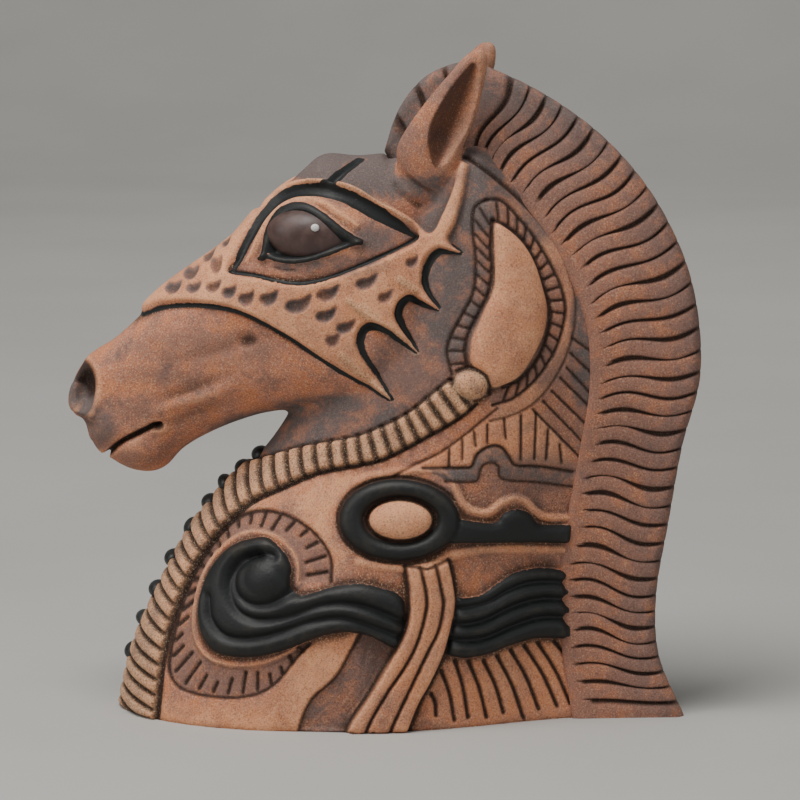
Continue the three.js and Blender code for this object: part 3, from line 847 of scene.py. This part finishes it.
def pits(flank, fine):
    """The mask's pits; the plainer flank has only those of full strength."""
    drop = smooth(DROP, 5, closed=True)
    for x, z, rx, rz, strength in PITS:
        if fine or strength == 1:
            outline = drop * [rx, rz * DROP_STRETCH] @ DROP_TURN + [x, z]
            flank.area(outline, height=-2.3 * strength, edge=1.6, soft=0.7, wash=strength, peach=-1)


def face(flank, fine):
    swells(flank, CHEEK_AND_JAW)
    mask(flank)
    brow_and_eye(flank)
    nose_and_mouth(flank)
    for line, half, dark in EAR_FOLDS:
        flank.groove(smooth(line), half=half, depth=1.4, dark=dark)
    pits(flank, fine)


# ---- Wash over the whole flank -----------------------------------------------------------------

# x, z, half length, half height, strength: where the grey-brown wash was left on
WASH = [
    (-2, 352, 75, 34, 1.6), (-45, 352, 60, 20, 1.5), (46, 280, 34, 72, 1.05), (22, 218, 38, 36, 0.8),
    (55, 330, 30, 32, 1.3), (95, 325, 32, 34, 0.9), (-105, 232, 60, 14, 0.5),
    (-178, 180, 20, 18, 0.9), (-15, 190, 72, 20, 1.05), (-66, 178, 46, 18, 1.15),
    (128, 235, 14, 60, 1.0), (126, 110, 12, 130, 0.6), (95, 155, 44, 18, 0.7),
    (-118, 70, 14, 50, 0.5), (-160, 20, 26, 24, 0.5), (98, 225, 34, 18, 0.7), (40, 60, 10, 40, 0.3),
    (-100, 300, 18, 16, 0.3), (68, 226, 16, 14, 0.5), (-138, 214, 36, 7, 0.5),
]


# the cut beside the mane starts above the ear's root and runs a little ahead of the nape line
NAPE_CUT_START, NAPE_CUT_AHEAD = 12, 2
# how many cells the cavity map looks around itself, and the depth that counts as a full hollow
CAVITY_REACH, CAVITY_DEPTH = 9, 2.2


def make_flank(fine):
    """One flank's whole relief map. Its cavity layer is above 0 in hollows and below 0 on edges."""
    flank = Relief()
    for x, z, rx, rz, strength in WASH:
        flank.swell(x, z, rx, rz, 0, wash=strength)
    face(flank, fine)
    hatching(flank, fine)
    ring_and_bar(flank)
    scroll_and_bands(flank, fine)
    leaf_and_ladder(flank)
    collar(flank)
    flank.groove(smooth(NAPE)[NAPE_CUT_START:] - (NAPE_CUT_AHEAD, 0), half=1.3, depth=1.6)
    flank.height = blurred(flank.height, 1)
    flank.cavity = np.clip((blurred(flank.height, CAVITY_REACH) - flank.height) / CAVITY_DEPTH, -1, 1)
    return flank


# ---- Mane ---------------------------------------------------------------------------------------

CREST = [
    (1, 352), (9, 376), (24, 396), (44, 406), (62, 405), (101, 387), (139, 359), (170, 321), (191, 273),
    (197, 218), (186, 170), (178, 122), (171, 77), (173, 38), (189, 0),
]
NAPE = [
    (18, 325), (24, 335), (32, 344), (42, 350), (52, 352), (67, 344), (94, 319), (117, 288), (133, 251),
    (136, 211), (130, 172), (123, 131), (117, 87), (119, 45), (127, 0),
]
SPANS = len(CREST) - 1
SPAN_STEPS = 40
# where each groove lies, counted in the crest's points
GROOVES = [0.9, 1.8, 2.7, 3.6] + [4.5 + 0.25 * k for k in range(38)]
LAST_GROOVE = SPANS + 0.25
# where the rings stand between two grooves: close together beside a groove
FLUTE = (0, 0.035, 0.07, 0.11, 0.17, 0.27, 0.4, 0.5, 0.6, 0.73, 0.83, 0.89, 0.93, 0.965)
GROOVE_HALF, GROOVE_DEPTH, FLUTE_SWELL, RIM_SHARE = 0.066, 1.9, 0.55, 0.2
MANE_ROOT_HALF, MANE_RIM_HALF, MANE_ROOT_SUNK = 16, 6.5, 0.12
MANE_STEPS, RIM_STEPS = 22, 7


def mane_places():
    places = [0.0, 0.3, 0.6]
    for a, b in zip(GROOVES, GROOVES[1:] + [SPANS]):
        places += [a + (b - a) * share for share in FLUTE]
    return places + [SPANS]


def there_and_back(near):
    return np.concatenate([near, near[:-1][::-1]])


def mane_ring(place, crest, nape):
    """The mane's outline at one place, with the dark line and the wash at each of its points."""
    rank = np.searchsorted(GROOVES, place, side="right") - 1
    left = GROOVES[rank] if rank >= 0 else 0.0
    right = (GROOVES + [LAST_GROOVE])[rank + 1]
    share = (place - left) / (right - left)
    away = min(share, 1 - share)
    root, rim = (along_index(line, place * SPAN_STEPS) for line in (nape, crest))
    way = rim - root
    width = np.linalg.norm(way)
    way /= width
    side_way = np.array([-way[1], way[0]])
    reach = width - MANE_RIM_HALF
    flat = np.linspace(-MANE_ROOT_SUNK, 1, MANE_STEPS) * reach / width
    t = np.concatenate([flat, np.ones(RIM_STEPS - 1)])
    turn = np.concatenate([np.zeros(MANE_STEPS), np.linspace(0, math.pi / 2, RIM_STEPS)[1:]])
    out = np.where(turn > 0, reach + MANE_RIM_HALF * np.sin(turn), t * width)
    share_out = out / width

    thick = MANE_ROOT_HALF + (MANE_RIM_HALF - MANE_ROOT_HALF) * np.clip(out / reach, 0, 1) ** 0.9
    thick = thick * (0.5 + 0.5 * ease(place / 2))
    start = 0.045 + 0.035 * math.sin(5.1 * rank)
    cut = ease((share_out - start) / 0.05) * calm_edge(place)
    groove = math.exp(-((away / GROOVE_HALF) ** 2))
    swell = FLUTE_SWELL * (1 - (2 * share - 1) ** 2) * calm_edge(place)
    fade = 1 - 0.4 * ease((share_out - 0.9) / 0.1)
    lift = swell * ease(share_out / 0.3) - GROOVE_DEPTH * groove * cut * fade

    sway = (2.9 + 0.8 * math.sin(2.3 * rank)) * min(1, place, SPANS - place)
    point = root + way * (out + np.where(turn > 0, lift * np.sin(turn) * RIM_SHARE, 0))[:, None]
    point = point + side_way * (sway * np.sin(2 * math.pi * np.clip(share_out, 0, 1)))[:, None]
    y = -(thick + lift) * np.cos(turn)
    y[-1] = 0
    ring = there_and_back(np.stack([point[:, 0], y, point[:, 1]], 1))
    ring[len(y) :, 1] *= -1

    line = ease(1.5 - away / 0.1) * ease((share_out - start) / 0.03) * (1 - 0.4 * ease(turn - 0.5))
    shade = 0.5 + 0.35 * np.clip(share_out, 0, 1) ** 2 + 0.35 * ease((7 - place) / 4)
    return ring, there_and_back(line), there_and_back(shade)


def mane():
    """A slab of flutes from the nape line to the crest, closed at both ends."""
    crest, nape = smooth(CREST, SPAN_STEPS), smooth(NAPE, SPAN_STEPS)
    rings, lines, shades = zip(*(mane_ring(place, crest, nape) for place in mane_places()))
    piece = skin_over("clay_mane", rings)
    store(piece, "line", np.concatenate(lines))
    store(piece, "wash", np.concatenate(shades))
    for empty in ("slip", "tan", "peach", "rough", "cavity"):
        store(piece, empty, np.zeros(len(piece.data.vertices)))
    return piece


def along_index(line, index):
    """The point of a line at an index that may lie between two of its points."""
    i = min(int(index), len(line) - 2)
    return line[i] + (line[i + 1] - line[i]) * (index - i)


def calm_edge(place):
    """1 along the mane, falling to 0 at its two ends."""
    return float(ease(place / 0.5) * ease((SPANS - place) / 0.12))


# ---- Carving the relief into the bare form ------------------------------------------------------

# half the width of the strip along the middle where one flank's relief passes into the other's
SEAM_HALF = 3
# points lower than this are laid flat on the ground
FLAT_BELOW = 0.9
BODY_TRIANGLES = 196000


def ear_share(points):
    """1 on the ears, 0 on the rest, with a soft join."""
    rows = smooth(EAR, 5)
    middle, half = (np.interp(points[:, 2], rows[:, 0], rows[:, i]) for i in (1, 3))
    beside = ease((half + 3 - np.abs(points[:, 0] - middle)) / 3)
    return beside * ease((points[:, 2] - 336) / 8)


def ear_inside(points):
    """1 in the hollow of each ear, and how far across it: -1 in front, 1 behind."""
    rows = smooth(EAR_HOLLOW, 5)
    middle, side, half, thick = (np.interp(points[:, 2], rows[:, 0], row) for row in rows.T[1:])
    across = (points[:, 0] - middle) / half
    away = across**2 + ((np.abs(points[:, 1]) - side) / thick) ** 2
    between_ends = (points[:, 2] > rows[0, 0]) & (points[:, 2] < rows[-1, 0])
    return ease((1.45 - away) / 0.3) * between_ends, across


def between_nostrils(points):
    """1 on the front of the nose, which carries none of the nostrils' relief or colour."""
    ahead = ease((-180 - points[:, 0]) / 8)
    return ahead * ease((11 - np.abs(points[:, 1])) / 5) * ease((points[:, 2] - 180) / 6)


def carve(form):
    """Moves the skin out by the relief, stores its colours and thins the mesh."""
    flanks = [make_flank(True), make_flank(False)]
    points, out = positions(form), normals(form)
    keep = 1 - ear_share(points)
    carved = 1 - between_nostrils(points)
    seam = ease((points[:, 1] + SEAM_HALF) / (2 * SEAM_HALF))
    values = {}
    for layer in ("height", *COLOURS, "cavity"):
        fine, plain = (flank.sample(layer, points[:, 0], points[:, 2]) for flank in flanks)
        values[layer] = (fine * (1 - seam) + plain * seam) * keep * carved
    inside, across = ear_inside(points)
    values["wash"] = np.maximum(values["wash"], (1 - keep) * 0.5)
    values["line"] = np.maximum(values["line"], 0.75 * inside * ease((0.4 - across) / 0.6))
    # Painted highlight: peach on the back part of each ear, round the lit back wall of its hollow.
    values["peach"] = np.maximum(values["peach"], 0.7 * (1 - keep) * ease((across - 0.1) / 0.5))
    above_base = ease((points[:, 2] - 0.2) / 2.5)
    points += out * (values.pop("height") * above_base)[:, None]
    points[:, 2] = np.where(points[:, 2] < FLAT_BELOW, 0, points[:, 2])
    move_to(form, points)
    for layer, value in values.items():
        store(form, layer, value)
    count = len(form.data.polygons) * 2
    finish_with(form, "DECIMATE", decimate_type="COLLAPSE", ratio=min(1, BODY_TRIANGLES / count))
    only(form)
    bpy.ops.object.shade_smooth()


# ---- Eyes and breast beads ----------------------------------------------------------------------

EYE_PLACE, EYE_SIZE, EYE_TILT = (-40, 35.8, 303), (27.5, 15.3, 16.6), 0.1
LIGHT_PLACE, LIGHT_SIZE = (-36, 50, 309.5), (2.6, 1.3, 2.3)
BREAST_BEADS = [
    (-79, 163), (-90, 154), (-101, 144), (-111, 132), (-123, 116), (-135, 96), (-145, 76), (-153, 57),
    (-161, 36),
]
BEAD_SUNK = 2.2
BEAD_LONG, BEAD_WIDE, BEAD_HIGH = 6.0, 9.5, 5.4


def pair(name, place, size, **ball_settings):
    """Two equal balls, one on each side of the head."""
    x, y, z = place
    return join(name, [ball(name, (x, y * side, z), size, **ball_settings) for side in (-1, 1)])


def breast_beads():
    beads = []
    for k, (x, z) in enumerate(BREAST_BEADS):
        wobble = 0.5 * math.sin(3.7 * k)
        size = (BEAD_LONG + wobble, BEAD_WIDE, BEAD_HIGH - wobble)
        beads.append(ball("bead", (x + BEAD_SUNK, 0, z - BEAD_SUNK), size, 0.5 * k, 28, 18))
    return join("breast_beads", beads)


# ---- Finishes -----------------------------------------------------------------------------------


class Nodes:
    """Short hands for one material's node tree."""

    def __init__(self, name):
        self.material = bpy.data.materials.new(name)
        self.material.use_nodes = True
        self.tree = self.material.node_tree
        self.shader = self.tree.nodes["Principled BSDF"]
        self.place = self.add("ShaderNodeTexCoord").outputs["Object"]

    def add(self, kind, **settings):
        node = self.tree.nodes.new(kind)
        for key, value in settings.items():
            setattr(node, key, value)
        return node

    def put(self, socket, value):
        if hasattr(value, "is_linked"):
            self.tree.links.new(value, socket)
        else:
            socket.default_value = value

    def noise(self, scale, detail=4.0, rough=0.55, warp=0.0):
        node = self.add("ShaderNodeTexNoise")
        self.put(node.inputs["Vector"], self.place)
        node.inputs["Scale"].default_value = scale
        node.inputs["Detail"].default_value = detail
        node.inputs["Roughness"].default_value = rough
        node.inputs["Distortion"].default_value = warp
        return node.outputs["Fac"]

    def grains(self, scale):
        node = self.add("ShaderNodeTexVoronoi")
        self.put(node.inputs["Vector"], self.place)
        node.inputs["Scale"].default_value = scale
        return node.outputs["Distance"]

    def span(self, value, low, high, to_low=0.0, to_high=1.0):
        node = self.add("ShaderNodeMapRange", interpolation_type="SMOOTHSTEP")
        sockets = ("Value", "From Min", "From Max", "To Min", "To Max")
        for name, item in zip(sockets, (value, low, high, to_low, to_high)):
            self.put(node.inputs[name], item)
        return node.outputs["Result"]

    def sum(self, kind, a, b):
        """The two values added, multiplied or compared, and held between 0 and 1."""
        node = self.add("ShaderNodeMath", operation=kind, use_clamp=True)
        self.put(node.inputs[0], a)
        self.put(node.inputs[1], b)
        return node.outputs[0]

    def plus(self, a, b):
        return self.sum("ADD", a, b)

    def times(self, a, b):
        return self.sum("MULTIPLY", a, b)

    def larger(self, a, b):
        return self.sum("MAXIMUM", a, b)

    def mix(self, share, a, b, blend="MIX"):
        node = self.add("ShaderNodeMix", data_type="RGBA", blend_type=blend)
        self.put(node.inputs["Factor"], share)
        for socket, value in ((node.inputs[6], a), (node.inputs[7], b)):
            self.put(socket, value if hasattr(value, "is_linked") else (*value, 1))
        return node.outputs[2]

    def layer(self, name):
        return self.add("ShaderNodeAttribute", attribute_name=name).outputs["Fac"]

    def bump(self, height, strength, distance):
        node = self.add("ShaderNodeBump")
        node.inputs["Strength"].default_value = strength
        node.inputs["Distance"].default_value = distance
        self.put(node.inputs["Height"], height)
        self.put(self.shader.inputs["Normal"], node.outputs["Normal"])


BRICK = (0.46, 0.190, 0.116)
PEACH = (0.88, 0.410, 0.215)
ORANGE = (0.62, 0.225, 0.100)
GREY_WASH = (0.138, 0.110, 0.106)
TAN = (0.56, 0.335, 0.190)
UMBER = (0.020, 0.010, 0.008)
BLACK = (0.0135, 0.0155, 0.0155)
RUBBED_BLACK = (0.10, 0.075, 0.055)
PALE_GROG = (0.80, 0.60, 0.40)


def toned(colour, share):
    return tuple(c * share for c in colour)


def grounds(n, broad, patch, mottle):
    """The fired body, with its pale and its tan areas."""
    colour = n.mix(n.span(broad, 0.36, 0.62), BRICK, toned(BRICK, 1.25))
    colour = n.mix(n.span(mottle, 0.52, 0.40, 0.0, 0.75), colour, ORANGE)
    pale = n.mix(n.span(broad, 0.42, 0.58, 0.0, 0.6), PEACH, ORANGE)
    colour = n.mix(n.times(n.layer("peach"), n.span(patch, 0.25, 0.6, 0.6, 1.0)), colour, pale)
    return n.mix(n.times(n.layer("tan"), n.span(patch, 0.3, 0.6, 0.6, 0.95)), colour, TAN)


def wash_cover(n, mottle):
    """Where the grey wash lies: brushed on by area, and in stains between the pale parts."""
    stain = n.times(n.span(mottle, 0.45, 0.68, 0.0, 0.8), n.span(n.layer("peach"), 0, 1, 1, 0.35))
    wash = n.times(n.layer("wash"), n.span(mottle, 0.36, 0.58, 0.5, 1.0))
    return n.larger(wash, stain)


def edges_and_cuts(n, colour, patch):
    """Edges worn to pale clay, carved lines filled with dark wash, and hollows darkened towards umber as
    painted shade.
    """
    worn = n.span(n.layer("cavity"), -0.7, -0.12, 0.6, 0.0)
    colour = n.mix(n.times(worn, n.span(patch, 0.35, 0.6, 0.3, 1.0)), colour, PEACH)
    # Painted shade: the hollows of the relief are darkened towards umber, more where they lie deeper.
    hollow = n.span(n.layer("cavity"), 0.06, 0.65, 0.0, 0.85)
    colour = n.mix(n.times(hollow, n.span(n.layer("wash"), 0.4, 1, 1, 0.45)), colour, UMBER)
    return n.mix(n.times(n.layer("line"), 0.93), colour, UMBER)


def grog(n, colour, speck, wash, coarse):
    """Dark grains and pale ones; the wash hides most of the pale ones."""
    dark_grain = n.times(n.span(speck, 0.52, 0.64), n.plus(0.55, n.times(coarse, 0.35)))
    colour = n.mix(dark_grain, colour, toned(BRICK, 0.28))
    bare = n.span(n.larger(wash, n.layer("line")), 0.1, 0.8, 0.5, 0.13)
    pale_share = n.plus(bare, n.times(n.layer("tan"), 0.3))
    return n.mix(n.times(n.span(speck, 0.45, 0.36), pale_share), colour, PALE_GROG)


def black_over(n, colour, slip, patch):
    """Black slip over the clay, rubbed browner on its edges."""
    rub = n.span(n.layer("cavity"), -0.9, -0.35, 0.22, 0.0)
    black = n.mix(n.times(rub, n.span(patch, 0.45, 0.6)), BLACK, RUBBED_BLACK)
    return n.mix(slip, colour, black)


def clay():
    n = Nodes("grogged_clay")
    broad = n.noise(26, 5, 0.6, 0.6)
    patch = n.noise(95, 6, 0.65)
    mottle = n.noise(52, 9, 0.78, 0.3)
    speck = n.noise(1000, 3, 0.8)
    coarse = n.plus(n.layer("rough"), n.layer("tan"))
    wash = wash_cover(n, mottle)
    slip = n.span(n.plus(n.layer("slip"), n.span(patch, 0.3, 0.7, -0.12, 0.12)), 0.42, 0.6)
    colour = n.mix(wash, grounds(n, broad, patch, mottle), GREY_WASH)
    colour = edges_and_cuts(n, colour, patch)
    colour = grog(n, colour, speck, wash, coarse)
    n.put(n.shader.inputs["Base Color"], black_over(n, colour, slip, patch))
    n.put(n.shader.inputs["Roughness"], n.span(slip, 0, 1, 0.88, 0.52))
    n.shader.inputs["Specular IOR Level"].default_value = 0.35
    tooth = n.times(speck, n.span(slip, 0, 1, 1.0, 0.25))
    pebbles = n.times(n.grains(620), n.plus(0.35, coarse))
    height = n.plus(n.times(tooth, 0.6), n.times(pebbles, 0.4))
    n.bump(n.plus(height, n.times(patch, 0.35)), 0.7, 0.0009)
    return n.material


def black_slip():
    n = Nodes("black_slip")
    patch = n.noise(140, 5, 0.6)
    fine = n.noise(1100, 3, 0.6)
    colour = n.mix(n.span(patch, 0.45, 0.75), BLACK, toned(BLACK, 2.6))
    n.put(n.shader.inputs["Base Color"], colour)
    n.put(n.shader.inputs["Roughness"], n.span(fine, 0.3, 0.7, 0.36, 0.55))
    n.bump(n.plus(n.times(fine, 0.5), n.times(patch, 0.5)), 0.4, 0.0005)
    return n.material


def eye_slip():
    n = Nodes("brown_eye_slip")
    patch = n.noise(120, 4, 0.6)
    colour = n.mix(n.span(patch, 0.35, 0.7), (0.062, 0.034, 0.030), (0.098, 0.056, 0.048))
    n.put(n.shader.inputs["Base Color"], colour)
    n.put(n.shader.inputs["Roughness"], n.span(patch, 0.3, 0.7, 0.42, 0.55))
    n.bump(n.noise(800, 3, 0.6), 0.25, 0.0003)
    return n.material


def white_slip():
    n = Nodes("white_slip")
    patch = n.noise(900, 3, 0.6)
    colour = n.mix(n.span(patch, 0.3, 0.7), (0.62, 0.62, 0.60), (0.80, 0.80, 0.78))
    n.put(n.shader.inputs["Base Color"], colour)
    n.shader.inputs["Roughness"].default_value = 0.5
    n.bump(patch, 0.2, 0.0002)
    return n.material


def give(piece, material):
    piece.data.materials.clear()
    piece.data.materials.append(material)
    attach(piece, "root")
    only(piece)
    bpy.ops.object.shade_smooth()
    return piece


# ---- Camera, floor and light --------------------------------------------------------------------

LOOK_AT = Vector((10.6, 0, 196.5)) * MM
AZIMUTH, ELEVATION, AWAY = math.radians(6), math.radians(9), 2.6
LENS, SENSOR = 188.1, 36
# metres: the sheet's flat part, and the bend that takes it up into a wall
FLOOR_DISC, BEND_START, BEND_RADIUS, WALL_TOP = 1.5, 3.2, 1.6, 6.0
SKY, SKY_STRENGTH = (0.92, 0.96, 1.0, 1), 0.36
# name, place, size, power, colour, aim
LAMPS = [
    ("top", (-0.5, -0.7, 2.2), 1.3, 48, (1, 0.98, 0.95), LOOK_AT),
    ("left", (-1.9, -1.5, 1.2), 1.2, 17, (1, 0.98, 0.96), LOOK_AT),
    ("right", (2.0, -1.6, 1.1), 1.4, 9, (0.95, 0.98, 1), LOOK_AT),
    ("backdrop", (0, 1.4, 2.6), 1.2, 38, (1, 0.985, 0.95), (0, 4.8, 0.9)),
]


def camera():
    data = bpy.data.cameras.new("camera")
    data.lens, data.sensor_width = LENS, SENSOR
    eye = bpy.data.objects.new("camera", data)
    flat = math.cos(ELEVATION)
    way = Vector((math.sin(AZIMUTH) * flat, -math.cos(AZIMUTH) * flat, math.sin(ELEVATION)))
    eye.location = LOOK_AT + way * AWAY
    eye.rotation_euler = way.to_track_quat("Z", "Y").to_euler()
    bpy.context.scene.collection.objects.link(eye)
    bpy.context.scene.camera = eye


def floor():
    """A pale sheet: flat under the bust, sweeping up all round it."""
    turns = np.linspace(0, math.pi / 2, 16)
    bend = [(BEND_START + BEND_RADIUS * math.sin(a), BEND_RADIUS * (1 - math.cos(a))) for a in turns]
    rows = [(FLOOR_DISC, 0)] + bend + [(BEND_START + BEND_RADIUS, WALL_TOP)]
    around = np.linspace(0, 2 * math.pi, 96, endpoint=False)
    rings = [[(r * math.cos(a) / MM, r * math.sin(a) / MM, z / MM) for a in around] for r, z in rows]
    count = len(around)
    faces = [tuple(range(count))]
    for r in range(len(rings) - 1):
        for i in range(count):
            a, b = r * count + i, r * count + (i + 1) % count
            faces.append((a, a + count, b + count, b))
    sheet = make_object("floor", np.vstack(rings), faces)
    n = Nodes("paper")
    tone = n.span(n.noise(3), 0.3, 0.7)
    n.put(n.shader.inputs["Base Color"], n.mix(tone, (0.46, 0.452, 0.43), (0.49, 0.482, 0.46)))
    n.shader.inputs["Roughness"].default_value = 0.9
    sheet.data.materials.append(n.material)
    only(sheet)
    bpy.ops.object.shade_smooth()


def lamp(name, place, size, power, colour, aim):
    data = bpy.data.lights.new(name, "AREA")
    data.shape, data.size, data.energy, data.color = "DISK", size, power, colour
    light = bpy.data.objects.new(name, data)
    light.location = place
    light.rotation_euler = (Vector(place) - Vector(aim)).to_track_quat("Z", "Y").to_euler()
    bpy.context.scene.collection.objects.link(light)


def lights():
    world = bpy.data.worlds.new("studio")
    world.use_nodes = True
    sky = world.node_tree.nodes["Background"]
    sky.inputs["Color"].default_value = SKY
    sky.inputs["Strength"].default_value = SKY_STRENGTH
    bpy.context.scene.world = world
    for row in LAMPS:
        lamp(*row)


# ---- The bust -----------------------------------------------------------------------------------

camera()
floor()
lights()

body = bare_form()
carve(body)
clay_finish = clay()
give(body, clay_finish)
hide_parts("horse_head")
give(mane(), clay_finish)
eyeballs = pair("eyeballs", EYE_PLACE, EYE_SIZE, tilt=EYE_TILT, segments=64, rings=40)
give(eyeballs, eye_slip())
give(pair("eye_lights", LIGHT_PLACE, LIGHT_SIZE, segments=20, rings=12), white_slip())
give(breast_beads(), black_slip())
